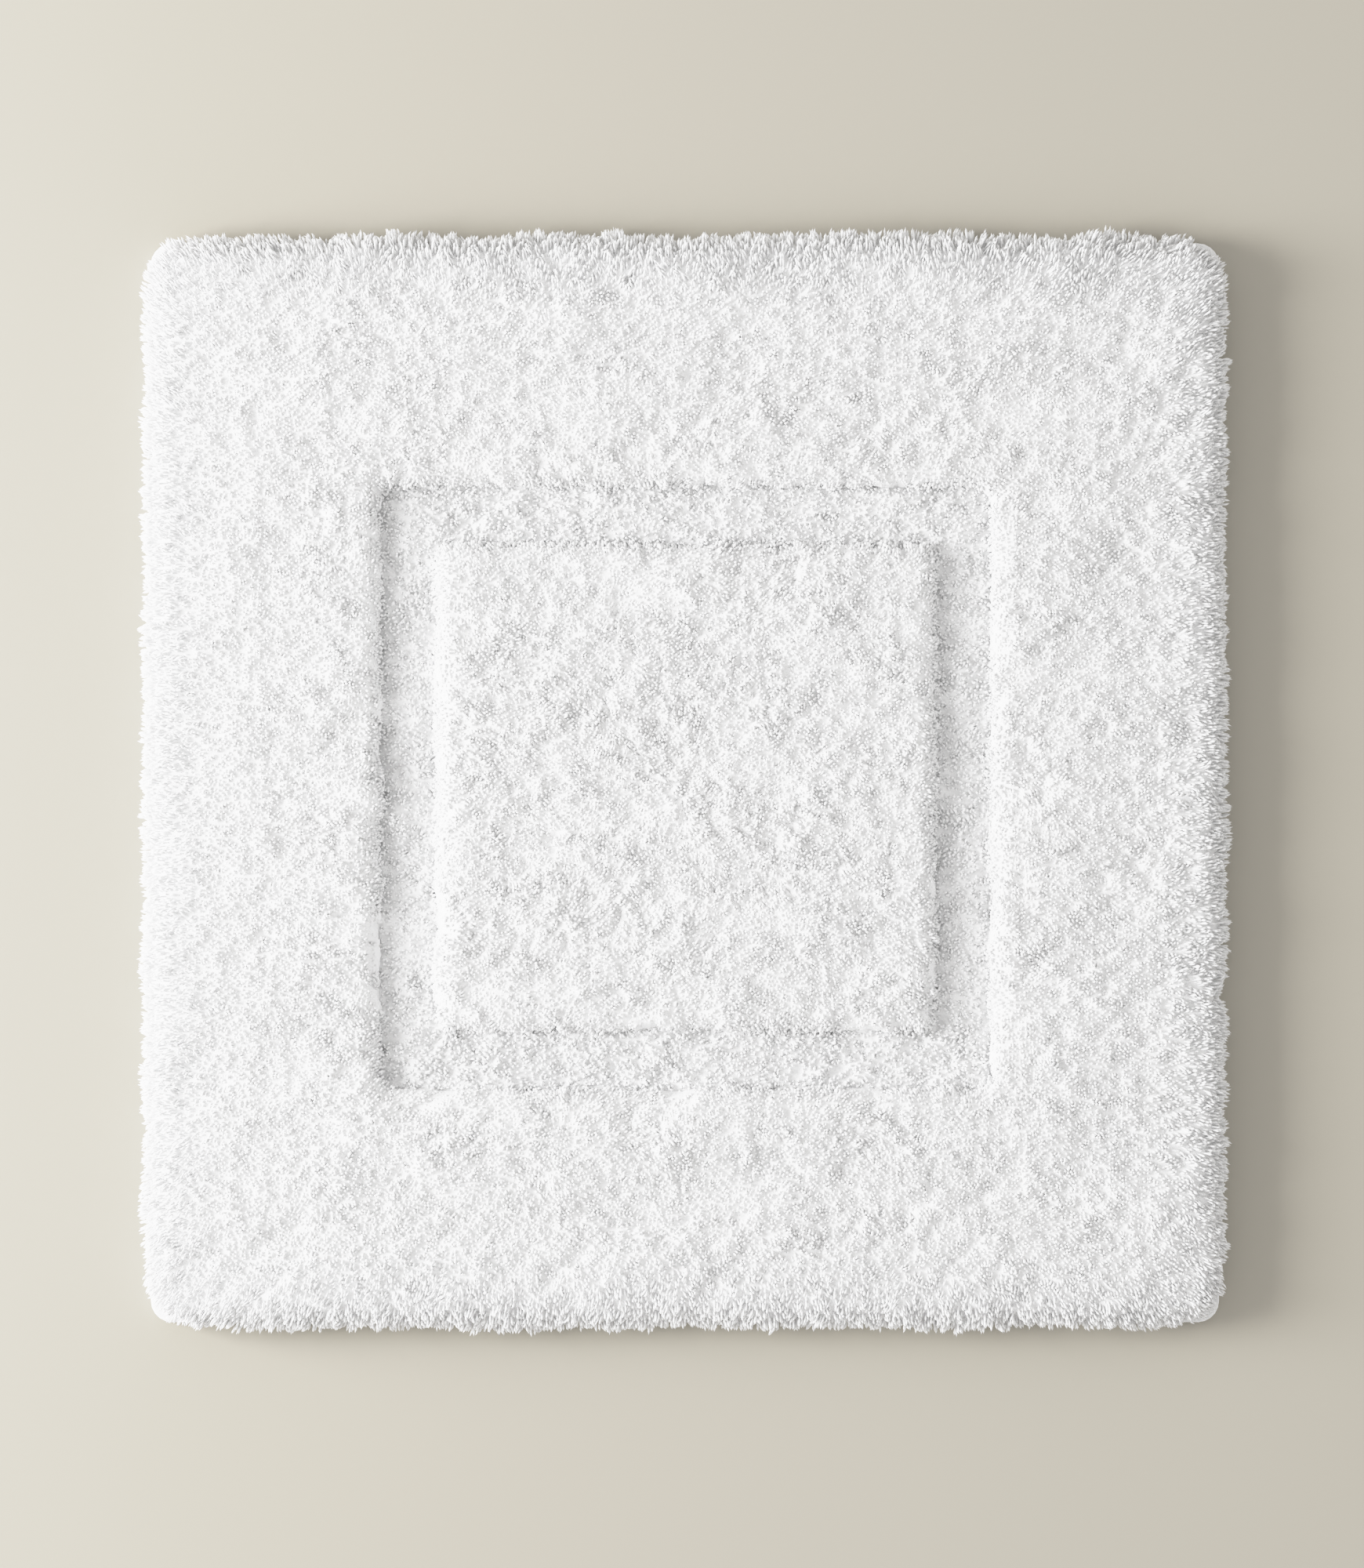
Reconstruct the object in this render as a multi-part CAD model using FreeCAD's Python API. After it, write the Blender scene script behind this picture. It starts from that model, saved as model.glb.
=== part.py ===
import FreeCAD, Part
import math
import os

# A square bath mat with a tall tufted pile and a sunken square channel.
#
# Frame: millimetres, +Z up, origin at the middle of the underside, on the floor.
# The mat's front edge faces -Y. Everything is stacked upwards from the floor:
#   grip studs and film, scrim, latex, back stitches, tufted cloth, pile.
# A folded tape closes the stack's edges all round and is sewn through with one
# line of lockstitch.

# ---- driving dimensions -----------------------------------------------------

# plan
hem_width = 600.0  # across X, over the sewn edge
hem_depth = 606.0  # across Y, over the sewn edge
hem_corner_radius = 12.0
pile_overhang = 4.0  # how far the side pile leans out past the hem
pile_corner_radius = 27.0

channel_width = 340.0  # outside of the sunken square, across X
channel_depth = 336.0  # outside of the sunken square, across Y
centre_width = 280.0
centre_depth = 272.0
square_shift_y = -3.0  # both squares sit a little nearer the front
square_corner_radius = 8.0
pile_parting = 0.4  # gap where tall and short pile meet

# thickness of each layer
grip_stud_height = 1.2
grip_film_thickness = 0.5
scrim_thickness = 0.6
latex_thickness = 1.4
back_stitch_thickness = 0.8
tufted_cloth_thickness = 0.7
tape_thickness = 0.8

# heights above the floor
mat_height = 30.0
channel_height = 17.0

# pile edges
pile_shoulder_radius = 17.0  # outer top edge
pile_skirt_radius = 6.0  # outer bottom edge
pile_rim_radius = 10.0  # top edges beside the channel
pile_skirt_clearance = 0.6  # air between the hem tape and the pile lying over it

# edge tape and its seam
tape_under_width = 12.0
tape_over_width = 8.5
seam_inset = 6.5
thread_width = 0.6
thread_height = 0.3
tape_fold_radius = 1.2

# tuft rows on the back of the cloth
row_gauge = 5.0
row_width = 2.4

# grip studs, square and tapered
stud_pitch = 22.0
stud_root_side = 8.0
stud_tip_side = 6.6
stud_edge_margin = 6.0

# care label, blank, on the underside by the back edge
label_width = 20.0
label_length = 45.0
label_thickness = 0.3
label_x = 225.0
label_seam_gap = 0.6
label_stud_margin = 3.0
tack_length = 12.0
tack_width = 1.0
tack_height = 0.25
tack_inset = 1.6
tack_spacing = 2.2

# ---- worked-out levels ------------------------------------------------------

film_bottom = grip_stud_height
film_top = film_bottom + grip_film_thickness
scrim_top = film_top + scrim_thickness
latex_top = scrim_top + latex_thickness
row_bottom = latex_top - back_stitch_thickness
cloth_top = latex_top + tufted_cloth_thickness
tape_bottom = film_top - tape_thickness
tape_top = cloth_top + tape_thickness
pile_skirt_bottom = tape_top + pile_skirt_clearance
layer_inset = tape_thickness
layer_clearance = 0.3  # between a layer's edge and the tape leg beside it


# ---- helpers ----------------------------------------------------------------


def outline(width, depth, radius, z, shift_y=0.0):
    """Closed wire of a rectangle with round corners, centred on X."""
    x = width / 2.0
    y = depth / 2.0
    bend = radius * (1.0 - math.sqrt(0.5))

    def at(px, py):
        return FreeCAD.Vector(px, py + shift_y, z)

    def line(a, b):
        return Part.LineSegment(at(*a), at(*b)).toShape()

    def arc(a, middle, b):
        return Part.Arc(at(*a), at(*middle), at(*b)).toShape()

    edges = [
        line((-x + radius, -y), (x - radius, -y)),
        arc((x - radius, -y), (x - bend, -y + bend), (x, -y + radius)),
        line((x, -y + radius), (x, y - radius)),
        arc((x, y - radius), (x - bend, y - bend), (x - radius, y)),
        line((x - radius, y), (-x + radius, y)),
        arc((-x + radius, y), (-x + bend, y - bend), (-x, y - radius)),
        line((-x, y - radius), (-x, -y + radius)),
        arc((-x, -y + radius), (-x + bend, -y + bend), (-x + radius, -y)),
    ]
    return Part.Wire(edges)


def slab(width, depth, radius, bottom, top, shift_y=0.0):
    """Flat closed solid with round corners between two heights."""
    face = Part.Face(outline(width, depth, radius, bottom, shift_y))
    return face.extrude(FreeCAD.Vector(0, 0, top - bottom))


def hem_slab(inset, bottom, top):
    """Slab that follows the hem, set in by a distance all round."""
    radius = max(hem_corner_radius - inset, 1.0)
    return slab(hem_width - 2 * inset, hem_depth - 2 * inset, radius, bottom, top)


def hem_ring(outer_inset, inner_inset, bottom, top):
    """Flat ring that follows the hem between two insets."""
    return hem_slab(outer_inset, bottom, top).cut(hem_slab(inner_inset, bottom, top))


def bar(width, depth, height, x, y, z):
    """Box centred on x and y, standing on z."""
    corner = FreeCAD.Vector(x - width / 2.0, y - depth / 2.0, z)
    return Part.makeBox(width, depth, height, corner)


def outer_edges(shape, z, inside):
    """Horizontal edges at height z whose middle lies outside a plan box."""
    half_x, half_y, shift_y = inside
    picked = []
    for edge in shape.Edges:
        box = edge.BoundBox
        level = abs(box.ZMin - z) < 1e-4 and abs(box.ZMax - z) < 1e-4
        away = abs(box.Center.x) > half_x or abs(box.Center.y - shift_y) > half_y
        if level and away:
            picked.append(edge)
    return picked


# ---- pieces -----------------------------------------------------------------


def grip_stud_places():
    """Staggered rows of studs about the middle, clear of the label and the tape."""
    row_step = stud_pitch * math.sqrt(3.0) / 2.0
    limit_x = hem_width / 2.0 - tape_under_width - stud_edge_margin
    limit_y = hem_depth / 2.0 - tape_under_width - stud_edge_margin
    rows = int(limit_y / row_step)
    columns = int(limit_x / stud_pitch) + 1
    reach = stud_root_side / 2.0 + label_stud_margin
    label_inner_end = hem_depth / 2.0 - label_outer_inset() - label_length
    places = []
    for row in range(-rows, rows + 1):
        stagger = stud_pitch / 2.0 if row % 2 else 0.0
        for column in range(-columns, columns + 1):
            x = column * stud_pitch + stagger
            y = row * row_step
            if abs(x) > limit_x:
                continue
            beside_label = abs(x - label_x) < label_width / 2.0 + reach
            if beside_label and y > label_inner_end - reach:
                continue
            places.append((x, y))
    return places


def grip_stud():
    """Square stud that tapers down from the film's underside to the floor."""
    root = stud_root_side / 2.0
    tip = stud_tip_side / 2.0
    stud = Part.makeWedge(-root, 0.0, -root, -tip, -tip, root, grip_stud_height, root, tip, tip)
    stud.rotate(FreeCAD.Vector(0, 0, 0), FreeCAD.Vector(1, 0, 0), -90)
    stud.translate(FreeCAD.Vector(0, 0, film_bottom))
    return stud


def grip_coat():
    """Thin rubber film with raised studs, moulded in one piece."""
    inset = tape_under_width + layer_clearance
    film = hem_slab(inset, film_bottom, film_top)
    faces = []
    underside = []
    for face in film.Faces:
        if face.BoundBox.ZMax < film_bottom + 1e-4:
            underside.append(face.OuterWire)
        else:
            faces.append(face)
    pattern = grip_stud()
    for x, y in grip_stud_places():
        stud = pattern.translated(FreeCAD.Vector(x, y, 0))
        for face in stud.Faces:
            if face.BoundBox.ZMin > film_bottom - 1e-4:
                underside.append(face.OuterWire)
            else:
                faces.append(face)
    solid = Part.makeSolid(Part.makeShell(faces + [Part.Face(underside)]))
    if solid.Volume < 0:
        solid.reverse()
    return solid


def secondary_backing():
    """Open woven scrim that covers the latex and squares up the mat."""
    return hem_slab(layer_inset, film_top, scrim_top)


def row_positions():
    """X of each tuft row; rows stay inside the tape's upper leg."""
    limit = hem_width / 2.0 - tape_over_width - row_width
    count = int(limit / row_gauge)
    return [index * row_gauge for index in range(-count, count + 1)]


def tuft_rows(bottom, top):
    """One bar along Y for each row of back stitches."""
    length = hem_depth - 2 * (tape_over_width + row_width)
    return [bar(row_width, length, top - bottom, x, 0.0, bottom) for x in row_positions()]


def latex_precoat():
    """Latex that locks the tufts, with a groove round each row of stitches."""
    sheet = hem_slab(layer_inset, scrim_top, latex_top)
    return sheet.cut(Part.makeCompound(tuft_rows(row_bottom, latex_top)))


def tuft_back_stitches():
    """The part of each tuft row that runs along the cloth's back."""
    return Part.makeCompound(tuft_rows(row_bottom, latex_top))


def primary_backing():
    """Woven cloth that the pile yarn is tufted through."""
    return hem_slab(layer_inset, latex_top, cloth_top)


def border_pile():
    """Tall pile round the outside, leaning out over the hem."""
    inset = tape_over_width + layer_clearance
    root = hem_slab(inset, cloth_top, pile_skirt_bottom)
    body = slab(
        hem_width + 2 * pile_overhang,
        hem_depth + 2 * pile_overhang,
        pile_corner_radius,
        pile_skirt_bottom,
        mat_height,
    )
    well = slab(
        channel_width,
        channel_depth,
        square_corner_radius,
        cloth_top,
        mat_height,
        square_shift_y,
    )
    outside = (hem_width / 2.0 - pile_corner_radius, hem_depth / 2.0 - pile_corner_radius, 0.0)
    body = body.makeFillet(pile_shoulder_radius, outer_edges(body, mat_height, outside))
    body = body.makeFillet(pile_skirt_radius, outer_edges(body, pile_skirt_bottom, outside))
    ring = body.fuse(root).removeSplitter().cut(well)
    well_box = well.BoundBox
    rim = []
    for edge in ring.Edges:
        box = edge.BoundBox
        level = abs(box.ZMin - mat_height) < 1e-4 and abs(box.ZMax - mat_height) < 1e-4
        within = abs(box.Center.x) <= well_box.XMax and well_box.YMin <= box.Center.y <= well_box.YMax
        if level and within and box.DiagonalLength > 0.01:
            rim.append(edge)
    return ring.makeFillet(pile_rim_radius, rim)


def channel_pile():
    """Short pile in the sunken square channel."""
    outer = slab(
        channel_width - 2 * pile_parting,
        channel_depth - 2 * pile_parting,
        square_corner_radius - pile_parting,
        cloth_top,
        channel_height,
        square_shift_y,
    )
    inner = slab(
        centre_width + 2 * pile_parting,
        centre_depth + 2 * pile_parting,
        square_corner_radius + pile_parting,
        cloth_top,
        channel_height,
        square_shift_y,
    )
    return outer.cut(inner)


def centre_pile():
    """Tall pile of the middle square."""
    body = slab(
        centre_width,
        centre_depth,
        square_corner_radius,
        cloth_top,
        mat_height,
        square_shift_y,
    )
    everywhere = (-1.0, -1.0, 0.0)
    return body.makeFillet(pile_rim_radius, outer_edges(body, mat_height, everywhere))


def edge_binding():
    """Tape folded round the edges of the stack, in one length."""
    under_leg = hem_ring(0.0, tape_under_width, tape_bottom, film_top)
    wall = hem_ring(0.0, tape_thickness, tape_bottom, tape_top)
    over_leg = hem_ring(0.0, tape_over_width, cloth_top, tape_top)
    tape = under_leg.fuse([wall, over_leg]).removeSplitter()
    near_edge = (
        hem_width / 2.0 - hem_corner_radius,
        hem_depth / 2.0 - hem_corner_radius,
        0.0,
    )
    folds = outer_edges(tape, tape_bottom, near_edge) + outer_edges(tape, tape_top, near_edge)
    return tape.makeFillet(tape_fold_radius, [edge for edge in folds if on_hem(edge)])


def on_hem(edge):
    """True for an edge that lies on the hem's outline."""
    for vertex in edge.Vertexes:
        x = abs(vertex.X)
        y = abs(vertex.Y)
        at_side = abs(x - hem_width / 2.0) < 1e-3 or abs(y - hem_depth / 2.0) < 1e-3
        if not at_side:
            return False
    return True


def seam_thread(bottom):
    """One thread of the seam, lying on the tape all round."""
    half = thread_width / 2.0
    return hem_ring(seam_inset - half, seam_inset + half, bottom, bottom + thread_height)


def binding_needle_thread():
    return seam_thread(tape_top)


def binding_bobbin_thread():
    return seam_thread(tape_bottom - thread_height)


def label_outer_inset():
    """Distance from the hem to the label's sewn end."""
    return seam_inset + thread_width / 2.0 + label_seam_gap


def care_label():
    """Blank ribbon label, flat against the underside."""
    outer_end = hem_depth / 2.0 - label_outer_inset()
    middle = outer_end - label_length / 2.0
    bottom = tape_bottom - label_thickness
    return bar(label_width, label_length, label_thickness, label_x, middle, bottom)


def label_tacks():
    """Two short bars of thread that hold the label's end to the tape."""
    outer_end = hem_depth / 2.0 - label_outer_inset()
    bottom = tape_bottom - label_thickness - tack_height
    tacks = []
    for index in range(2):
        y = outer_end - tack_inset - index * tack_spacing
        tacks.append(bar(tack_length, tack_width, tack_height, label_x, y, bottom))
    return Part.makeCompound(tacks)


PIECES = (
    grip_coat,
    secondary_backing,
    latex_precoat,
    tuft_back_stitches,
    primary_backing,
    border_pile,
    channel_pile,
    centre_pile,
    edge_binding,
    binding_needle_thread,
    binding_bobbin_thread,
    care_label,
    label_tacks,
)


def main():
    os.makedirs("parts", exist_ok=True)
    for piece in PIECES:
        shape = piece()
        name = piece.__name__
        box = shape.BoundBox
        shape.exportStep(os.path.join("parts", name + ".step"))
        print(
            f"{name}: solids {len(shape.Solids)} valid {shape.isValid()}"
            f" volume {shape.Volume:.0f} mm3"
            f" size {box.XLength:.1f} x {box.YLength:.1f} x {box.ZLength:.2f}"
            f" z {box.ZMin:.2f} to {box.ZMax:.2f}"
        )


main()
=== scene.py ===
import math
from functools import cache

import bpy
import numpy as np
from bpy.props import FloatProperty, FloatVectorProperty, IntProperty, PointerProperty
from bpy.types import Operator, Panel, PropertyGroup
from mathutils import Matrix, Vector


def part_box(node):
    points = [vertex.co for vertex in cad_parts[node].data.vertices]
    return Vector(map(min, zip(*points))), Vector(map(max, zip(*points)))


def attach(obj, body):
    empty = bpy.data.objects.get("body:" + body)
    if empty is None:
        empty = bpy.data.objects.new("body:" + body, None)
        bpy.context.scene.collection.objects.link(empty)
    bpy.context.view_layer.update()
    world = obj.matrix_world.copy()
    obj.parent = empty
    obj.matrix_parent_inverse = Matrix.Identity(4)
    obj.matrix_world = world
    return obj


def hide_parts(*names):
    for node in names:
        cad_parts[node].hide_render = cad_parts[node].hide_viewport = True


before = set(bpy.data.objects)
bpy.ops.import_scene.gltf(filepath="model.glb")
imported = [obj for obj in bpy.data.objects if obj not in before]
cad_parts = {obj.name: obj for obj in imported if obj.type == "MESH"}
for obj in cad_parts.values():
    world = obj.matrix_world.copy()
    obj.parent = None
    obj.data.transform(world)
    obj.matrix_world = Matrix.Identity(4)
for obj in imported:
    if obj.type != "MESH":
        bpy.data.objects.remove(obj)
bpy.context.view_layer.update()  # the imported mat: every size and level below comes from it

bl_info = {
    "name": "Deep-pile bath mat",
    "version": (1, 0, 0),
    "blender": (4, 5, 0),
    "location": "View3D > Sidebar > Bath mat",
    "description": "Makes the yarn, cloths, hem tape, seam and grip film of a deep-pile bath mat",
    "category": "Add Mesh",
}

MM = 0.001
BODY = "root"

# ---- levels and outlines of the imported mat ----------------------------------

HEM_LOW, HEM_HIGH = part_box("edge_binding")
CHANNEL_LOW, CHANNEL_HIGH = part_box("channel_pile")
CENTRE_LOW, CENTRE_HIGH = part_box("centre_pile")
FILM_LOW, FILM_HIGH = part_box("grip_coat")
CLOTH_LOW, CLOTH_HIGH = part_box("primary_backing")
SCRIM_LOW, SCRIM_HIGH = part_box("secondary_backing")
LABEL_LOW, LABEL_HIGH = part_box("care_label")
NEEDLE_LOW, NEEDLE_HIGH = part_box("binding_needle_thread")
BOBBIN_LOW, BOBBIN_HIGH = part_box("binding_bobbin_thread")
TACKS_LOW, TACKS_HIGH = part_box("label_tacks")

CLOTH_TOP = CLOTH_HIGH.z
PILE_TOP = CENTRE_HIGH.z
SHORT_PILE_TOP = CHANNEL_HIGH.z
TAPE_TOP = HEM_HIGH.z
TAPE_BOTTOM = HEM_LOW.z
FILM_TOP = FILM_HIGH.z

HEM_CORNER = 12 * MM
PILE_CORNER = 27 * MM
SQUARE_CORNER = 9 * MM
TAPE_THICKNESS = 0.8 * MM
TAPE_OVER = 8.5 * MM
TAPE_UNDER = 12 * MM
SEAM_INSET = 6.5 * MM
FILM_THICKNESS = 0.5 * MM
HAIR_GAP = 0.05 * MM


class Outline:
    """A rectangle with round corners, centred on X: half sizes, corner radius and middle's Y."""

    def __init__(self, half_x, half_y, radius, middle_y=0.0):
        self.values = np.array([half_x, half_y, radius, middle_y], float)

    def inset(self, distance, softer=0.0):
        """The outline moved in by a distance, its corners made rounder by softer."""
        half_x, half_y, radius, middle_y = self.values
        radius = max(radius - distance + softer, 1.5 * MM)
        return Outline(half_x - distance, half_y - distance, radius, middle_y)

    def towards(self, other, share):
        """The outline a share of the way to another."""
        return Outline(*(self.values * (1 - share) + other.values * share))

    def ring(self, straight, corner):
        """Points anticlockwise round it: so many on each straight side and in each corner."""
        half_x, half_y, radius, middle_y = self.values
        turns = np.linspace(0, math.pi / 2, corner, endpoint=False)
        shares = np.linspace(0, 1, straight, endpoint=False)[:, None]
        points = []
        for quarter in range(4):
            along_x = quarter % 2 == 0
            sign_x = 1 if quarter in (0, 3) else -1
            sign_y = 1 if quarter in (0, 1) else -1
            centre = np.array([sign_x * (half_x - radius), sign_y * (half_y - radius)])
            angles = turns + quarter * math.pi / 2
            arc = centre + radius * np.stack([np.cos(angles), np.sin(angles)], 1)
            end = angles[0] + math.pi / 2
            start = centre + radius * np.array([math.cos(end), math.sin(end)])
            run = 2 * (half_x - radius) if along_x else 2 * (half_y - radius)
            step = np.array([-sign_y, 0]) if along_x else np.array([0, sign_x])
            points += [arc, start + shares * run * step]
        ring = np.concatenate(points)
        ring[:, 1] += middle_y
        return ring

    def depth(self, x, y):
        """How far inside the outline each point is; outside it is negative."""
        half_x, half_y, radius, middle_y = self.values
        across = np.abs(x) - (half_x - radius)
        along = np.abs(y - middle_y) - (half_y - radius)
        outer = np.hypot(np.maximum(across, 0), np.maximum(along, 0))
        return radius - outer - np.minimum(np.maximum(across, along), 0)

    def outward(self, x, y):
        """Unit vectors that point straight out of the outline."""
        step = 0.5 * MM
        slope_x = self.depth(x - step, y) - self.depth(x + step, y)
        slope_y = self.depth(x, y - step) - self.depth(x, y + step)
        size = np.maximum(np.hypot(slope_x, slope_y), 1e-9)
        return np.stack([slope_x / size, slope_y / size, np.zeros_like(size)], 1)


def outline_of(low, high, radius):
    return Outline((high.x - low.x) / 2, (high.y - low.y) / 2, radius, (high.y + low.y) / 2)


HEM = outline_of(HEM_LOW, HEM_HIGH, HEM_CORNER)
PILE_HEM = outline_of(HEM_LOW, HEM_HIGH, PILE_CORNER)
CHANNEL = outline_of(CHANNEL_LOW, CHANNEL_HIGH, SQUARE_CORNER)
CENTRE = outline_of(CENTRE_LOW, CENTRE_HIGH, SQUARE_CORNER)


# ---- settings ---------------------------------------------------------------


def length_property(name, description, default):
    return FloatProperty(
        name=name, description=description, default=default, subtype="DISTANCE", unit="LENGTH"
    )


def colour_property(name, description, default):
    return FloatVectorProperty(
        name=name, description=description, default=default, size=3, subtype="COLOR"
    )


class MatPileSettings(PropertyGroup):
    """Sizes of the pile yarn and how it stands."""

    yarn_radius: length_property("Yarn radius", "Radius of one cut yarn end", 0.9 * MM)
    spacing: length_property("Spacing", "Least distance between two yarn ends", 1.68 * MM)
    clump_size: length_property("Clump size", "Width of a bunch of yarn ends", 7.5 * MM)
    seed: IntProperty(name="Seed", description="Seed of every random draw", default=7)


class MatColourSettings(PropertyGroup):
    """Colours of the mat's materials and of the floor."""

    yarn: colour_property("Yarn", "White of the pile yarn", (0.92, 0.92, 0.925))
    tape: colour_property("Tape", "White of the hem tape", (0.92, 0.92, 0.925))
    cloth: colour_property("Cloth", "Off-white of the woven cloths", (0.82, 0.80, 0.76))
    latex: colour_property("Latex", "Cream of the dried latex", (0.78, 0.74, 0.64))
    rubber: colour_property("Rubber", "Milky white of the grip film", (0.80, 0.80, 0.78))
    floor: colour_property("Floor", "Pale warm floor", (0.412, 0.389, 0.338))


def settings():
    return bpy.context.scene.mat_pile, bpy.context.scene.mat_colours


# ---- node helpers -----------------------------------------------------------


class Nodes:
    """Adds and links nodes in one tree; given holds a group's inputs by name."""

    def __init__(self, tree):
        self.tree = tree
        self.given = None

    def add(self, kind, inputs=None, **options):
        node = self.tree.nodes.new(kind)
        for name, value in options.items():
            setattr(node, name, value)
        for key, value in (inputs or {}).items():
            if isinstance(value, bpy.types.NodeSocket):
                self.tree.links.new(value, node.inputs[key])
            else:
                node.inputs[key].default_value = value
        return node

    def give(self, values):
        """Links values to the group's outputs by name and returns the finished tree."""
        self.add("NodeGroupOutput", values)
        return self.tree

    def math(self, operation, a, b=0.0):
        return self.add("ShaderNodeMath", {0: a, 1: b}, operation=operation).outputs[0]

    def plus(self, a, b):
        return self.math("ADD", a, b)

    def minus(self, a, b):
        return self.math("SUBTRACT", a, b)

    def times(self, first, *others):
        for other in others:
            first = self.math("MULTIPLY", first, other)
        return first

    def fade(self, value, start, end, at_start, at_end, **options):
        """The value's place between start and end, as a number from at_start to at_end."""
        inputs = {0: value, 1: start, 2: end, 3: at_start, 4: at_end}
        return self.add("ShaderNodeMapRange", inputs, **options).outputs[0]

    def vector(self, operation, a, b=(0, 0, 0)):
        return self.add("ShaderNodeVectorMath", {0: a, 1: b}, operation=operation).outputs[0]

    def scale(self, vector, factor):
        inputs = {0: vector, "Scale": factor}
        return self.add("ShaderNodeVectorMath", inputs, operation="SCALE").outputs[0]

    def sum(self, first, *others):
        for other in others:
            first = self.vector("ADD", first, other)
        return first

    def split(self, vector):
        return self.add("ShaderNodeSeparateXYZ", {0: vector}).outputs

    def join(self, x, y, z=0.0):
        return self.add("ShaderNodeCombineXYZ", {0: x, 1: y, 2: z}).outputs[0]

    def noise(self, where, scale, detail, **inputs):
        inputs = {"Vector": where, "Scale": scale, "Detail": detail, **inputs}
        return self.add("ShaderNodeTexNoise", inputs).outputs

    def named(self, name, kind="FLOAT"):
        node = self.add("GeometryNodeInputNamedAttribute", {"Name": name}, data_type=kind)
        return node.outputs[0]

    def position(self):
        return self.add("GeometryNodeInputPosition").outputs[0]

    def chance(self, low, high, draw):
        """A random number for each yarn end, from the tree's seed and the number of the draw."""
        inputs = {2: low, 3: high, "Seed": self.plus(self.given["Seed"], draw)}
        return self.add("FunctionNodeRandomValue", inputs, data_type="FLOAT").outputs[1]

    def stamped(self, points, instance, **inputs):
        """A real copy of one shape at every point."""
        inputs = {"Points": points, "Instance": instance, **inputs}
        placed = self.add("GeometryNodeInstanceOnPoints", inputs).outputs[0]
        return self.add("GeometryNodeRealizeInstances", {"Geometry": placed}).outputs[0]

    def smoothed(self, geometry):
        return self.add("GeometryNodeSetShadeSmooth", {"Geometry": geometry}).outputs[0]

    def aimed(self, way, axis):
        """The rotation that turns one axis of a shape to a way."""
        return self.add("FunctionNodeAlignRotationToVector", {"Vector": way}, axis=axis).outputs[0]

    def moved(self, geometry, **inputs):
        return self.add("GeometryNodeSetPosition", {"Geometry": geometry, **inputs}).outputs[0]

    def painted(self, geometry):
        inputs = {"Geometry": geometry, "Material": self.given["Material"]}
        return self.add("GeometryNodeSetMaterial", inputs).outputs[0]


def group_nodes(name, kind, given, result):
    """A new node group: its inputs are defaults or kinds of socket, its outputs kinds, by name."""
    tree = bpy.data.node_groups.new(name, kind)
    for label, value in given.items():
        plain = "Int" if isinstance(value, int) else "Float"
        socket = "NodeSocket" + (value if isinstance(value, str) else plain)
        made = tree.interface.new_socket(label, in_out="INPUT", socket_type=socket)
        if not isinstance(value, str):
            made.default_value = value
    for label, socket in result.items():
        tree.interface.new_socket(label, in_out="OUTPUT", socket_type="NodeSocket" + socket)
    nodes = Nodes(tree)
    nodes.given = nodes.add("NodeGroupInput").outputs
    return nodes


def identifier(tree, label):
    """The identifier of a group's input, by its name."""
    for item in tree.interface.items_tree:
        if item.item_type == "SOCKET" and item.in_out == "INPUT" and item.name == label:
            return item.identifier
    raise KeyError(label)


def run_nodes(guide, tree, values, name):
    """Runs a Geometry Nodes tree on a guide, removes the guide and returns a plain new object."""
    modifier = guide.modifiers.new(tree.name, "NODES")
    modifier.node_group = tree
    for label, value in values.items():
        modifier[identifier(tree, label)] = value
    bpy.context.view_layer.update()
    graph = bpy.context.evaluated_depsgraph_get()
    mesh = bpy.data.meshes.new_from_object(guide.evaluated_get(graph))
    guide.modifiers.remove(modifier)
    bpy.data.objects.remove(guide)
    mesh.name = name
    return add_object(name, mesh)


# ---- mesh helpers -----------------------------------------------------------


def add_object(name, mesh):
    piece = bpy.data.objects.new(name, mesh)
    bpy.context.scene.collection.objects.link(piece)
    return piece


def new_mesh(name, points, edges, faces):
    mesh = bpy.data.meshes.new(name)
    mesh.from_pydata(np.asarray(points).tolist(), edges, faces)
    mesh.update()
    return mesh


def loft_mesh(name, rings, closed):
    """A closed surface through rings of points: a tube closed on itself, or one with fans at its ends."""
    rings = np.array(rings)
    count, around = rings.shape[:2]
    points = rings.reshape(-1, 3)
    j = np.arange(around)
    after = (j + 1) % around
    faces = []
    for i in range(count if closed else count - 1):
        here, there = i * around, (i + 1) % count * around
        faces.append(np.stack([here + j, here + after, there + after, there + j], 1))
    faces = np.concatenate(faces).tolist()
    if not closed:
        bottom, top = len(points), len(points) + 1
        points = np.concatenate([points, rings[0].mean(0)[None], rings[-1].mean(0)[None]])
        last = (count - 1) * around
        faces += [[bottom, int(b), int(a)] for a, b in zip(j, after)]
        faces += [[top, last + int(a), last + int(b)] for a, b in zip(j, after)]
    return new_mesh(name, points, [], faces)


def shade_smooth(mesh):
    mesh.polygons.foreach_set("use_smooth", np.ones(len(mesh.polygons), bool))


def read(items, key, width=1, kind=np.float32):
    """One value or vector of every item of a mesh."""
    values = np.zeros(len(items) * width, kind)
    items.foreach_get(key, values)
    return values.reshape(-1, width) if width > 1 else values


def points_and_normals(mesh):
    return read(mesh.vertices, "co", 3).astype(float), read(mesh.vertex_normals, "vector", 3).astype(float)


def move_points(mesh, points):
    mesh.vertices.foreach_set("co", points.astype(np.float32).ravel())
    mesh.update()


def write_attribute(mesh, name, values):
    kind, key = ("FLOAT_VECTOR", "vector") if values.ndim == 2 else ("FLOAT", "value")
    made = mesh.attributes.new(name, kind, "POINT")
    made.data.foreach_set(key, values.astype(np.float32).ravel())


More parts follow.
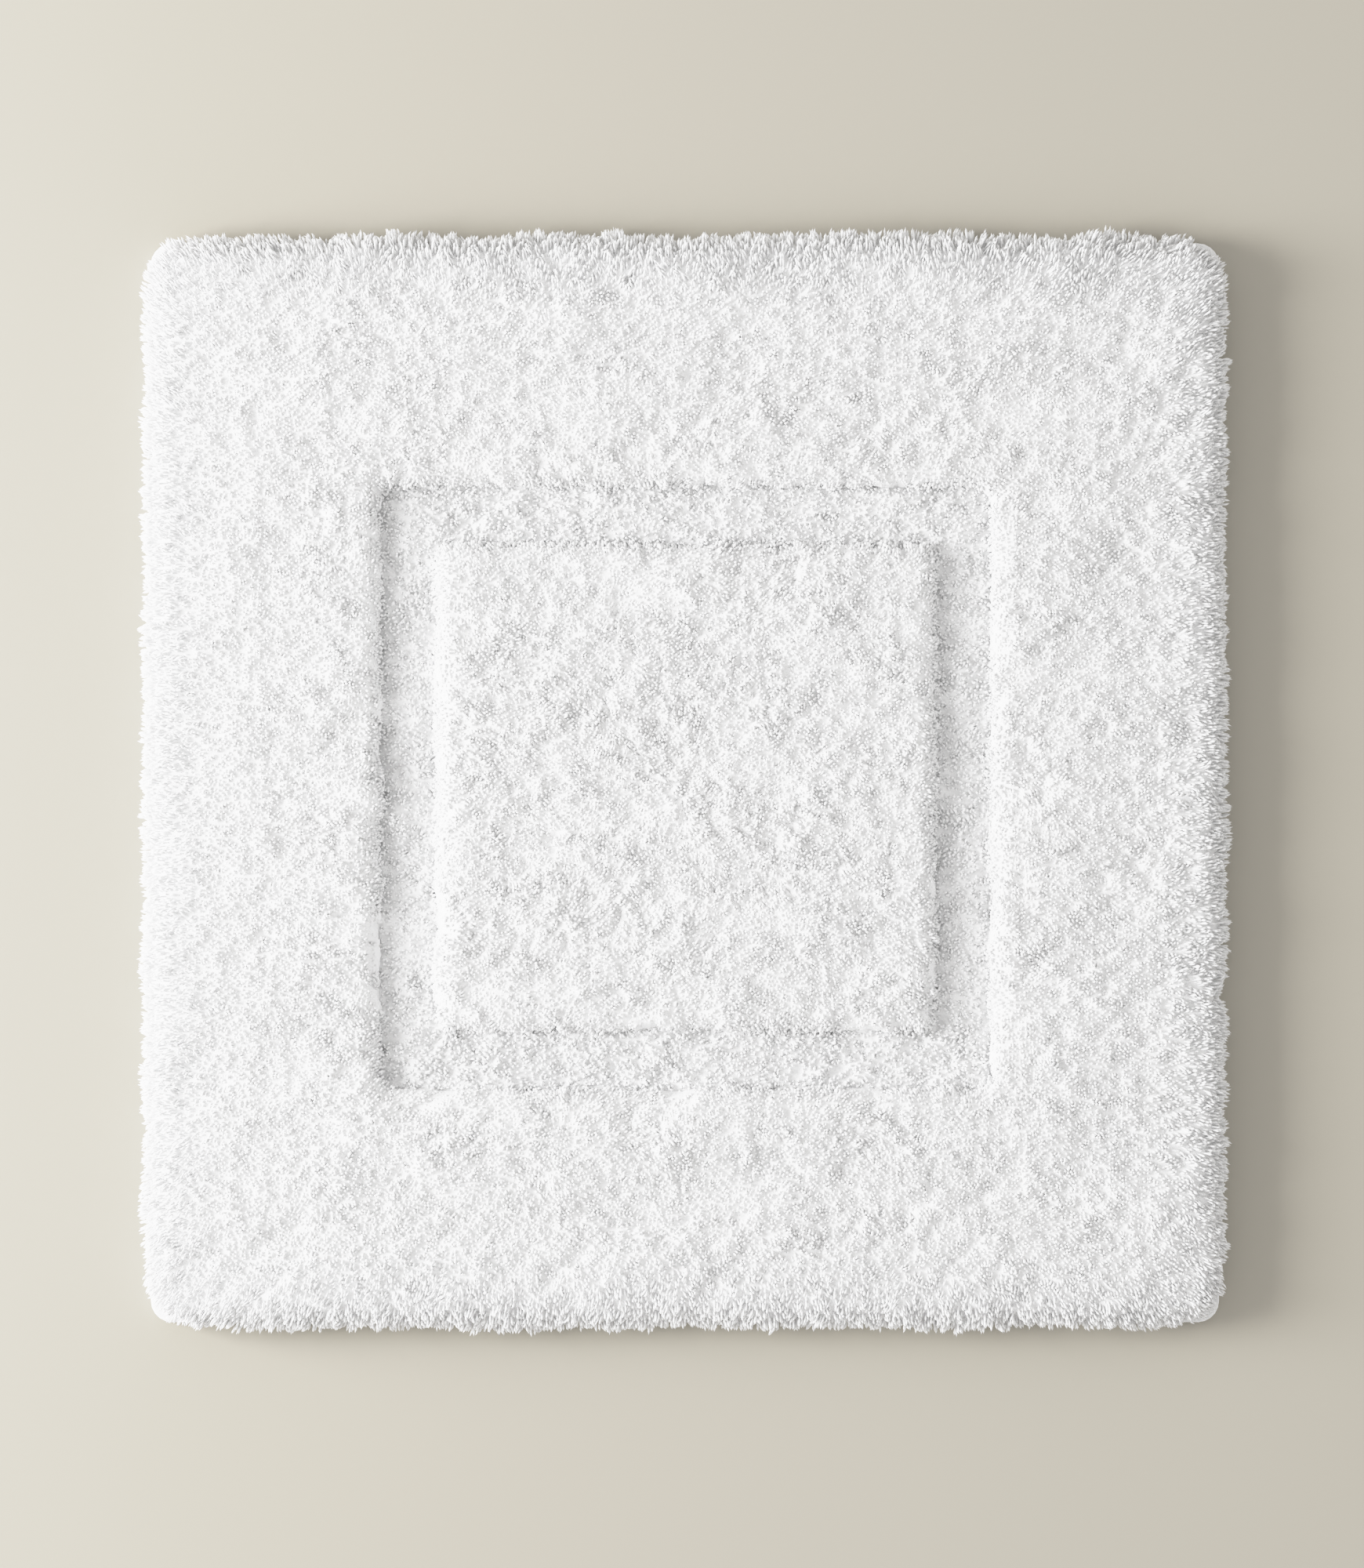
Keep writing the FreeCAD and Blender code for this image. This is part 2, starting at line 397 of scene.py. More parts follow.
def read_attribute(mesh, name):
    source = mesh.attributes[name]
    if source.data_type == "FLOAT_VECTOR":
        return read(source.data, "vector", 3)
    return read(source.data, "value")


def soft_noise(x, y, size, seed):
    """Smooth noise from -1 to 1 whose lumps are about size wide."""
    rng = np.random.default_rng(seed)
    total = np.zeros_like(x)
    waves = 14
    for _ in range(waves):
        angle, phase = rng.uniform(0, 2 * math.pi, 2)
        wave = 2 * math.pi / size * rng.uniform(0.45, 1.1)
        total += np.sin((x * math.cos(angle) + y * math.sin(angle)) * wave + phase)
    return total / math.sqrt(waves / 2) / 1.6


def lumps(mesh, tall, size, seed):
    """Moves each vertex along its normal by soft noise."""
    points, normals = points_and_normals(mesh)
    height = soft_noise(points[:, 0] + points[:, 2], points[:, 1] - points[:, 2], size, seed)
    move_points(mesh, points + normals * (height * tall)[:, None])


def smoothstep(value, low, high):
    share = np.clip((value - low) / (high - low), 0, 1)
    return share * share * (3 - 2 * share)


def place(piece, node, slot):
    """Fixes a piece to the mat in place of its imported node."""
    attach(piece, BODY)
    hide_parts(node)


# ---- materials --------------------------------------------------------------


@cache
def weave_group():
    """Height of a woven cloth and its tone, from a vector in metres; the tone is random fuzz, darkened by
    painted shade where the weave sinks between threads.
    """
    given = {"Vector": "Vector", "Threads per metre": 1200.0, "Slant": 0.0}
    nodes = group_nodes("Woven threads", "ShaderNodeTree", given, {"Height": "Float", "Tone": "Float"})
    given = nodes.given
    x, y, _ = nodes.split(given["Vector"])
    turn = nodes.times(given["Threads per metre"], math.pi)
    across = nodes.math("SINE", nodes.times(x, turn))
    along = nodes.math("SINE", nodes.times(nodes.plus(y, nodes.times(x, given["Slant"])), turn))
    crest = nodes.math("MAXIMUM", nodes.math("ABSOLUTE", across), nodes.math("ABSOLUTE", along))
    over = nodes.plus(nodes.times(across, along, 0.25), 0.35)
    height = nodes.plus(nodes.times(crest, 0.5), over)
    fuzz = nodes.noise(given["Vector"], 900.0, 3.0)["Fac"]
    # Painted shade: the fuzz is darkened where the weave is low.
    return nodes.give({"Height": height, "Tone": nodes.times(fuzz, height)})


@cache
def fibre_group():
    """Height of matted fibres and their tone, from a vector in metres: a slow tone change plus the fine
    fibre height, a painted shade that darkens the low fibres.
    """
    given = {"Vector": "Vector", "Fibres per metre": 700.0}
    nodes = group_nodes("Matted fibres", "ShaderNodeTree", given, {"Height": "Float", "Tone": "Float"})
    where = nodes.given["Vector"]
    fine = nodes.noise(where, nodes.given["Fibres per metre"], 4.0, Distortion=1.4)["Fac"]
    slow = nodes.noise(where, 22.0, 2.0)["Fac"]
    # Half the tone follows the fibre height, painted shade in the low places; half is a slow random change.
    return nodes.give({"Height": fine, "Tone": nodes.plus(nodes.times(fine, 0.5), nodes.times(slow, 0.5))})


def new_material(name):
    """A material with its nodes and its shader."""
    material = bpy.data.materials.new(name)
    material.use_nodes = True
    return material, Nodes(material.node_tree), material.node_tree.nodes["Principled BSDF"]


def blend_colour(nodes, shader, share, colour, dark):
    """Base colour from a darker shade to the full one."""
    deep = [part * dark for part in colour]
    blend = nodes.add("ShaderNodeMix", {0: share, 6: [*deep, 1], 7: [*colour, 1]}, data_type="RGBA")
    nodes.tree.links.new(blend.outputs[2], shader.inputs["Base Color"])


def set_shader(shader, **values):
    for label, value in values.items():
        shader.inputs[label.replace("_", " ").replace("Ior", "IOR")].default_value = value


def finish_material(name, colour, group, group_inputs, roughness, bump, sheen, coords=None):
    """A fabric or rubber finish: colour and roughness vary with a pattern group's tone, which holds painted
    shade in the pattern's low places, and bump follows it.
    """
    if name in bpy.data.materials:
        return bpy.data.materials[name]
    material, nodes, shader = new_material(name)
    if coords:
        where = nodes.add("ShaderNodeUVMap", uv_map=coords).outputs[0]
    else:
        where = nodes.add("ShaderNodeTexCoord").outputs["Object"]
    pattern = nodes.add("ShaderNodeGroup", node_tree=group)
    nodes.tree.links.new(where, pattern.inputs["Vector"])
    for key, value in group_inputs.items():
        pattern.inputs[key].default_value = value
    tone, height = pattern.outputs["Tone"], pattern.outputs["Height"]
    # The colour darkens with the tone: random variation plus painted shade where the pattern is low.
    blend_colour(nodes, shader, tone, colour, 0.9)
    rough = nodes.fade(tone, 0.0, 1.0, roughness + 0.08, roughness - 0.08)
    nodes.tree.links.new(rough, shader.inputs["Roughness"])
    strength, distance = bump
    relief = nodes.add("ShaderNodeBump", {"Strength": strength, "Distance": distance, "Height": height})
    nodes.tree.links.new(relief.outputs[0], shader.inputs["Normal"])
    set_shader(shader, Sheen_Weight=sheen, Sheen_Roughness=0.5, Specular_Ior_Level=0.3)
    return material


@cache
def yarn_material():
    """White yarn: painted shade makes it a little darker towards the root, and its white differs a little
    at random from one end to the next.
    """
    _, colours = settings()
    material, nodes, shader = new_material("white_pile_yarn")
    tone = nodes.add("ShaderNodeAttribute", attribute_name="yarn_tone").outputs["Fac"]
    where = nodes.add("ShaderNodeTexCoord").outputs["Object"]
    slow = nodes.noise(where, 25.0, 2.0)["Fac"]
    # Colour share: mostly the end's random tone with the painted root shade, a little slow random tone.
    share = nodes.plus(nodes.times(tone, 0.8), nodes.times(slow, 0.2))
    blend_colour(nodes, shader, share, colours.yarn, 0.97)
    set_shader(shader, Roughness=0.72, Sheen_Weight=0.5, Sheen_Roughness=0.5, Specular_Ior_Level=0.35)
    return material


def cloth_material(name, colour, threads, slant=0.0, coords=None, sheen=0.2):
    pattern = {"Threads per metre": threads, "Slant": slant}
    return finish_material(name, colour, weave_group(), pattern, 0.8, (0.6, 0.3 * MM), sheen, coords)


def matted_material(name, colour, fibres, roughness, depth, sheen):
    pattern = {"Fibres per metre": fibres}
    return finish_material(name, colour, fibre_group(), pattern, roughness, (0.8, depth), sheen)


def thread_material():
    _, colours = settings()
    pattern = {"Threads per metre": 2600.0, "Slant": 1.0}
    return finish_material(
        "sewing_thread", colours.tape, weave_group(), pattern, 0.55, (0.5, 0.1 * MM), 0.1
    )


def paint(piece, material):
    """Gives every slot of a piece one material."""
    if not piece.data.materials:
        piece.data.materials.append(material)
    for slot in piece.material_slots:
        slot.material = material


# ---- packed pile ------------------------------------------------------------

PLATEAU_REACH = 1.0 * MM
SETTLE = 2.0 * MM
CHANNEL_SETTLE = 1.2 * MM
MASS_TOP = PILE_TOP - PLATEAU_REACH - SETTLE
CHANNEL_FLOOR = SHORT_PILE_TOP - PLATEAU_REACH - CHANNEL_SETTLE
MASS_BASE = CLOTH_TOP + 0.1 * MM
SKIRT = TAPE_TOP + 0.4 * MM
SIDE_FOOT = 10 * MM
SIDE_INSET = 2.2 * MM
SHOULDER = 13 * MM
WALL_INSET = 1.4 * MM
WALL_SHOULDER = 11 * MM
WALL_FOOT = 1.5 * MM
UNDER_WALL = 2.5 * MM
SOFTER_CORNER = 0.6

# Points on each straight side and in each corner of a ring.
BORDER_STEPS, CENTRE_STEPS, CHANNEL_STEPS = (298, 14), (180, 12), (190, 12)
SHEET_STEPS = (24, 5)
# Rings across the flat part of each packed pile.
BORDER_RINGS, CENTRE_RINGS, CHANNEL_RINGS = 55, 76, 20


def profile_ring(outline, z, steps=SHEET_STEPS):
    ring = outline.ring(*steps)
    return np.concatenate([ring, np.full((len(ring), 1), z)], 1)


def rings_of(sections, steps=SHEET_STEPS):
    return [profile_ring(outline, z, steps) for outline, z in sections]


def rounded(start, end, steps, across_first):
    """Quarter-ellipse of (inset, z) points from start to end, without its first point."""
    points = []
    for share in np.linspace(0, math.pi / 2, steps + 1)[1:]:
        go, rise = 1 - math.cos(share), math.sin(share)
        if across_first:
            go, rise = rise, go
        points.append((start[0] + (end[0] - start[0]) * go, start[1] + (end[1] - start[1]) * rise))
    return points


def middle_of(radius, middle_y=0.0):
    """A tiny outline at the middle of the mat, where a flat face closes."""
    return Outline(3 * MM, 3 * MM, radius, middle_y)


def border_mass_mesh():
    """Packed yarn of the border, up to where single ends show."""
    wall = CHANNEL.inset(-WALL_INSET)
    foot = CHANNEL.inset(-HAIR_GAP)
    under = PILE_HEM.inset(TAPE_OVER + 0.8 * MM)
    side = [(SIDE_INSET + 2.6 * MM, SKIRT), (SIDE_INSET + 0.9 * MM, SKIRT + 1.2 * MM)]
    side += [(SIDE_INSET, SIDE_FOOT)]
    side += rounded((SIDE_INSET, SIDE_FOOT), (SIDE_INSET + SHOULDER, MASS_TOP), 10, False)
    sections = [(PILE_HEM.inset(inset), z) for inset, z in side]
    outer, inner = PILE_HEM.inset(SIDE_INSET + SHOULDER), wall.inset(-WALL_SHOULDER)
    sections += [(outer.towards(inner, share), MASS_TOP) for share in np.linspace(0, 1, BORDER_RINGS)[1:]]
    drop = rounded((WALL_SHOULDER, MASS_TOP), (0, MASS_TOP - WALL_SHOULDER), 6, True)
    sections += [(wall.inset(-away), z) for away, z in drop]
    sections += [(wall, CHANNEL_FLOOR + WALL_FOOT), (foot, CHANNEL_FLOOR), (foot, MASS_BASE)]
    sections += [(foot.towards(under, share), MASS_BASE) for share in (0.5, 1)]
    sections += [(under, SKIRT)]
    return loft_mesh("border_pile_mass", rings_of(sections, BORDER_STEPS), True)


def centre_mass_mesh():
    """Packed yarn of the middle square."""
    wall = CENTRE.inset(WALL_INSET)
    foot = CENTRE.inset(HAIR_GAP)
    sections = [(foot, MASS_BASE), (foot, CHANNEL_FLOOR)]
    sections += [(wall, CHANNEL_FLOOR + WALL_FOOT), (wall, MASS_TOP - WALL_SHOULDER)]
    for inset, z in rounded((0, MASS_TOP - WALL_SHOULDER), (WALL_SHOULDER, MASS_TOP), 6, False):
        sections.append((wall.inset(inset, softer=inset * SOFTER_CORNER), z))
    plateau = wall.inset(WALL_SHOULDER, softer=WALL_SHOULDER * SOFTER_CORNER)
    core = middle_of(2 * MM, CENTRE.values[3])
    sections += [(plateau.towards(core, share), MASS_TOP) for share in np.linspace(0, 1, CENTRE_RINGS)[1:]]
    return loft_mesh("centre_pile_mass", rings_of(sections, CENTRE_STEPS), False)


def channel_mass_mesh():
    """Packed yarn of the sunken channel, tucked a little under the walls beside it."""
    outer, inner = CHANNEL.inset(-UNDER_WALL), CENTRE.inset(UNDER_WALL)
    sections = [(outer, MASS_BASE)]
    sections += [(outer.towards(inner, share), CHANNEL_FLOOR) for share in np.linspace(0, 1, CHANNEL_RINGS)]
    sections += [(inner, MASS_BASE), (inner.towards(outer, 0.5), MASS_BASE)]
    return loft_mesh("channel_pile_mass", rings_of(sections, CHANNEL_STEPS), True)


# ---- the way the yarn stands ------------------------------------------------

PLATEAU_YARN = 3.0 * MM
SIDE_YARN = 6.8 * MM
CHANNEL_YARN = 3.0 * MM
# Yarn longer than the rest of the side's: at the left, the back, the front and the back left corner.
LEFT_EXTRA, BACK_EXTRA, FRONT_EXTRA, CORNER_EXTRA = 2.0 * MM, 1.2 * MM, -0.3 * MM, -0.6 * MM
LONG_YARN_FROM, LONG_YARN_TO = 8 * MM, 45 * MM
FAN_WIDTH = 125 * MM
FAN_LEAN, SIDE_LEAN = math.radians(60), math.radians(42)
SIDE_LOW, SIDE_HIGH = 8 * MM, 22 * MM
SWIRL = 1.9
# How far the way out points to a side before the yarn counts as that side's, or as the corner's.
AT_SIDE, AT_CORNER = (0.3, 0.8), (0.2, 0.6)
SIDE_CALM, LEFT_CALM = 0.25, 0.55
WALL_LEAN = 0.65
CHANNEL_LEAN = 0.8

# Places where the yarn falls away from one point: x, y and reach, in metres.
PARTINGS = (
    (0.046, -0.030, 0.012),
    (0.000, -0.022, 0.010),
    (0.189, 0.204, 0.016),
    (-0.205, 0.060, 0.012),
    (0.120, -0.235, 0.014),
    (-0.150, -0.215, 0.012),
    (0.235, -0.060, 0.012),
)


def swirl(x, y):
    """Slow changes of the way the yarn leans, as (points, 2)."""
    ways = []
    for axis in range(2):
        wide = soft_noise(x, y, 60 * MM, 11 + axis)
        narrow = soft_noise(x, y, 22 * MM, 21 + axis)
        ways.append(0.6 * wide + 0.5 * narrow)
    for px, py, reach in PARTINGS:
        away = np.hypot(x - px, y - py)
        push = 0.75 * np.exp(-((away / reach) ** 2)) / np.maximum(away, 2 * MM)
        ways[0] += (x - px) * push
        ways[1] += (y - py) * push
    return np.stack(ways, 1)


def leaning(outward, angle):
    """Unit vectors tipped from upright by an angle towards a level direction."""
    return outward * np.sin(angle)[:, None] + np.array([0, 0, 1]) * np.cos(angle)[:, None]


def fanned_out(x, y, sharpness=4):
    """Level unit vectors away from the middle, square to each side and turning softly at the corners."""
    ways = [np.sign(share) * np.abs(share) ** sharpness for share in (x / HEM.values[0], y / HEM.values[1])]
    way = np.stack([*ways, 0 * x], 1)
    return way / np.maximum(np.linalg.norm(way, axis=1), 1e-9)[:, None]


def yarn_field(points, kind):
    """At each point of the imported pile: the yarn's way, how long it shows and how loosely it lies."""
    x, y, z = points.T
    loose = np.ones(len(x))
    reach = np.full(len(x), CHANNEL_YARN if kind == "channel" else PLATEAU_YARN)
    way = np.tile(np.array([0.0, 0.0, 1.0]), (len(x), 1))
    way[:, :2] += SWIRL * swirl(x, y)
    if kind == "border":
        depth = PILE_HEM.depth(x, y)
        fan = (1 - smoothstep(depth, 0, FAN_WIDTH)) ** 0.7
        side = 1 - smoothstep(z, SIDE_LOW, SIDE_HIGH)
        outward = fanned_out(x, y)
        combed = leaning(outward, FAN_LEAN * fan + SIDE_LEAN * side * fan)
        way = way * (1 - fan)[:, None] + combed * fan[:, None]
        out_x, out_y, _ = outward.T
        left, back, front = (smoothstep(out, *AT_SIDE) for out in (-out_x, out_y, -out_y))
        corner = smoothstep(-out_x, *AT_CORNER) * smoothstep(out_y, *AT_CORNER)
        loose -= (SIDE_CALM + LEFT_CALM * left) * fan
        extra = LEFT_EXTRA * left + BACK_EXTRA * back + FRONT_EXTRA * front + CORNER_EXTRA * corner
        near_hem = 1 - smoothstep(depth, LONG_YARN_FROM, LONG_YARN_TO)
        reach += (SIDE_YARN + extra - PLATEAU_YARN) * near_hem
        from_wall, into_channel = -CHANNEL.depth(x, y), -CHANNEL.outward(x, y)
    else:
        from_wall, into_channel = CENTRE.depth(x, y), CENTRE.outward(x, y)
    if kind == "channel":
        way[:, :2] *= CHANNEL_LEAN
    else:
        wall = 1 - smoothstep(from_wall, WALL_INSET, WALL_INSET + WALL_SHOULDER)
        way += into_channel * (WALL_LEAN * wall)[:, None]
    return way, reach, loose


def grow_mask(points, normals, kind):
    """1 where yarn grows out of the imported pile, 0 on its underside and in its corners."""
    x, y, z = points.T
    grow = (normals[:, 2] > -0.8).astype(float)
    if kind == "border":
        grow *= z > TAPE_TOP + 0.3 * MM
        grow *= (CHANNEL.depth(x, y) < -20 * MM) | (z > CHANNEL_FLOOR + 0.5 * MM)
    else:
        grow *= z > CHANNEL_FLOOR - 2 * MM
    return grow


FIELDS = ("way", "reach", "loose", "grow")


def sector_guides(mass, names, sector):
    """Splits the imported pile's shown faces into one guide mesh per sector."""
    centres = read(mass.polygons, "center", 3)
    choice = sector(centres[:, 0], centres[:, 1])
    points, _ = points_and_normals(mass)
    corners = read(mass.loops, "vertex_index", kind=np.int32)
    starts = read(mass.polygons, "loop_start", kind=np.int32)
    totals = read(mass.polygons, "loop_total", kind=np.int32)
    fields = {field: read_attribute(mass, field) for field in FIELDS}
    for index, name in enumerate(names):
        faces = [corners[starts[f]:starts[f] + totals[f]] for f in np.flatnonzero(choice == index)]
        faces = [face for face in faces if fields["grow"][face].max() > 0]
        used = np.unique(np.concatenate(faces))
        spot = np.full(len(points), -1)
        spot[used] = np.arange(len(used))
        mesh = new_mesh(name + "_guide", points[used], [], [spot[face].tolist() for face in faces])
        shade_smooth(mesh)
        for field, values in fields.items():
            write_attribute(mesh, field, values[used])
        yield name, add_object(name + "_guide", mesh)


# ---- clumps and yarn ends ---------------------------------------------------

LOWEST_YARN = 0.8 * MM
DENSEST = 0.8 * MM
# How far up a yarn end turns from upright to its own way, and how soon it reaches full width.
KNEE, BLUNTNESS = 0.45, 2.1


@cache
def clump_group():
    """Where a point sits in its clump: the way to the middle, a dome, the crease round it, a random way."""
    given = {"Clump Size": 7 * MM, "Wander": 4 * MM}
    result = {"To Middle": "Vector", "Dome": "Float", "Crease": "Float", "Way": "Vector", "Open": "Float"}
    nodes = group_nodes("Clumps", "GeometryNodeTree", given, result)
    given = nodes.given
    x, y, _ = nodes.split(nodes.position())
    level = nodes.join(x, y)
    drift = nodes.vector("SUBTRACT", nodes.noise(level, 130.0, 2.0)["Color"], (0.5, 0.5, 0.5))
    where = nodes.vector("ADD", level, nodes.scale(drift, nodes.times(given["Wander"], 2.0)))
    scale = nodes.math("DIVIDE", 1.0, given["Clump Size"])

    def cells(size, **options):
        inputs = {"Vector": where, "Scale": size}
        return nodes.add("ShaderNodeTexVoronoi", inputs, voronoi_dimensions="2D", **options).outputs

    def gap(size, width):
        """1 on the line between two cells, fading to 0."""
        edge = cells(size, feature="DISTANCE_TO_EDGE")["Distance"]
        return nodes.fade(edge, 0.0, width, 1.0, 0.0, interpolation_type="SMOOTHSTEP")

    cell = cells(scale)
    dome = nodes.minus(1.0, nodes.times(cell["Distance"], cell["Distance"]))
    open_here = nodes.fade(nodes.noise(level, 42.0, 2.0)["Fac"], 0.34, 0.62, 0.0, 1.0)
    slit = nodes.times(gap(nodes.times(scale, 2.1), 0.2), open_here, 0.6)
    wide = nodes.times(gap(scale, 0.16), nodes.plus(0.3, nodes.times(open_here, 0.7)))
    middle_x, middle_y, _ = nodes.split(nodes.vector("SUBTRACT", cell["Position"], where))
    chance = nodes.split(cell["Color"])
    turn = nodes.times(chance[0], 2 * math.pi)
    round_way = nodes.join(nodes.math("COSINE", turn), nodes.math("SINE", turn))
    return nodes.give({
        "To Middle": nodes.join(middle_x, middle_y),
        "Dome": dome,
        "Crease": nodes.math("MAXIMUM", wide, slit),
        "Way": nodes.scale(round_way, nodes.plus(0.35, nodes.times(chance[1], 0.65))),
        "Open": open_here,
    })


def clump_at(nodes):
    node = nodes.add("GeometryNodeGroup", node_tree=clump_group())
    nodes.tree.links.new(nodes.given["Clump Size"], node.inputs["Clump Size"])
    return node.outputs


@cache
def relief_tree():
    """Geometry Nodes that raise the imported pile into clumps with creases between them."""
    given = {
        "Geometry": "Geometry",
        "Clump Size": 7 * MM,
        "Dome Height": 1.0 * MM,
        "Crease Depth": 0.8 * MM,
        "Tilt": 0.2,
    }
    nodes = group_nodes("Packed pile relief", "GeometryNodeTree", given, {"Geometry": "Geometry"})
    given, clump = nodes.given, clump_at(nodes)
    up = nodes.times(clump["Dome"], given["Dome Height"])
    down = nodes.times(clump["Crease"], given["Crease Depth"])
    dot = nodes.add(
        "ShaderNodeVectorMath", {0: clump["To Middle"], 1: clump["Way"]}, operation="DOT_PRODUCT"
    )
    tilt = nodes.times(dot.outputs["Value"], given["Tilt"])
    patchy = nodes.plus(0.55, nodes.times(clump["Open"], 0.75))
    strength = nodes.times(nodes.named("grow"), nodes.named("loose"), patchy)
    height = nodes.times(nodes.minus(nodes.minus(up, down), tilt), strength)
    normal = nodes.add("GeometryNodeInputNormal").outputs[0]
    return nodes.give({"Geometry": nodes.moved(given["Geometry"], Offset=nodes.scale(normal, height))})


def yarn_path(nodes, normal):
    """Start, knee and tip of each planted yarn end, with its reach; knee and tip count from the start."""
    given, clump = nodes.given, clump_at(nodes)
    root, reach, calm = nodes.position(), nodes.named("reach"), nodes.named("loose")
    main_way = nodes.named("way", "FLOAT_VECTOR")
    lock_scale = nodes.math("DIVIDE", 1.0, given["Lock Size"])
    lock = nodes.add("ShaderNodeTexVoronoi", {"Vector": root, "Scale": lock_scale}).outputs
    gather = nodes.scale(nodes.vector("SUBTRACT", lock["Position"], root), given["Lock Pull"])
    pull = nodes.sum(nodes.scale(clump["To Middle"], given["Clump Pull"]), gather)
    lock_lean = nodes.scale(nodes.vector("SUBTRACT", lock["Color"], (0.5, 0.5, 0.5)), given["Lock Lean"])
    clump_lean = nodes.scale(clump["Way"], nodes.times(given["Clump Lean"], calm))
    stray = nodes.add(
        "FunctionNodeRandomValue",
        {0: (-1, -1, -0.4), 1: (1, 1, 0.4), "Seed": nodes.plus(given["Seed"], 1.0)},
        data_type="FLOAT_VECTOR",
    ).outputs[0]
    lean = nodes.sum(main_way, clump_lean, lock_lean, nodes.scale(stray, given["Stray"]))
    way = nodes.vector("NORMALIZE", lean)

    swell = nodes.minus(nodes.noise(root, 45.0, 1.0)["Fac"], 0.5)
    uneven = nodes.plus(
        nodes.times(swell, nodes.times(calm, 0.35)),
        nodes.times(nodes.chance(-1.0, 1.0, 2.0), given["Length Spread"]),
    )
    low_rim = nodes.times(nodes.minus(1.0, clump["Dome"]), given["Clump Dome"])
    parted = nodes.plus(low_rim, nodes.times(clump["Crease"], given["Parting"]))
    factor = nodes.minus(nodes.plus(1.0, uneven), parted)
    loose = nodes.plus(0.8, nodes.times(clump["Open"], nodes.times(given["Loose"], calm)))
    length = nodes.times(reach, nodes.times(factor, loose))

    rooted = nodes.scale(normal, given["Root Depth"])
    start = nodes.vector("SUBTRACT", root, rooted)
    rise = nodes.vector("NORMALIZE", nodes.vector("ADD", normal, main_way))
    knee = nodes.sum(nodes.scale(rise, nodes.times(length, KNEE)), rooted)
    tip = nodes.sum(nodes.scale(way, length), rooted, pull)
    return start, knee, tip, reach


def yarn_skin(nodes, own, kept):
    """Places the cone's vertices round each yarn end's bent spine and returns a colour share for each: the
    end's random tone and how far along it is, a painted shade that darkens the yarn towards its root.
    """
    given = nodes.given
    x, y, z = nodes.split(own)
    along = nodes.times(z, nodes.minus(BLUNTNESS, nodes.times(z, BLUNTNESS - 1)))
    near_knee = nodes.times(along, nodes.minus(1.0, along), 2.0)
    near_tip = nodes.times(along, along)
    spine = nodes.sum(nodes.scale(kept["Knee"], near_knee), nodes.scale(kept["Tip"], near_tip))
    bloom = nodes.plus(0.5, nodes.times(along, 0.6))
    width = nodes.times(given["Yarn Radius"], bloom, kept["Girth"])
    across = nodes.scale(nodes.vector("NORMALIZE", nodes.join(x, y)), width)
    wave = nodes.plus(nodes.times(along, 7.0), nodes.times(kept["Tone"], 40.0))
    curl = nodes.join(nodes.math("SINE", wave), nodes.math("COSINE", wave))
    curled = nodes.scale(curl, nodes.times(along, given["Curl"]))
    turned = {"Vector": nodes.sum(across, curled), "Rotation": kept["Turn"]}
    skin = nodes.add("FunctionNodeRotateVector", turned).outputs[0]
    x, y, z = nodes.split(nodes.sum(kept["Start"], spine, skin))
    # Colour share: half the end's random tone, half painted shade that darkens the yarn towards its root.
    shade = nodes.plus(nodes.times(kept["Tone"], 0.5), nodes.times(along, 0.5))
    return nodes.join(x, y, nodes.math("MAXIMUM", z, given["Lowest"])), shade


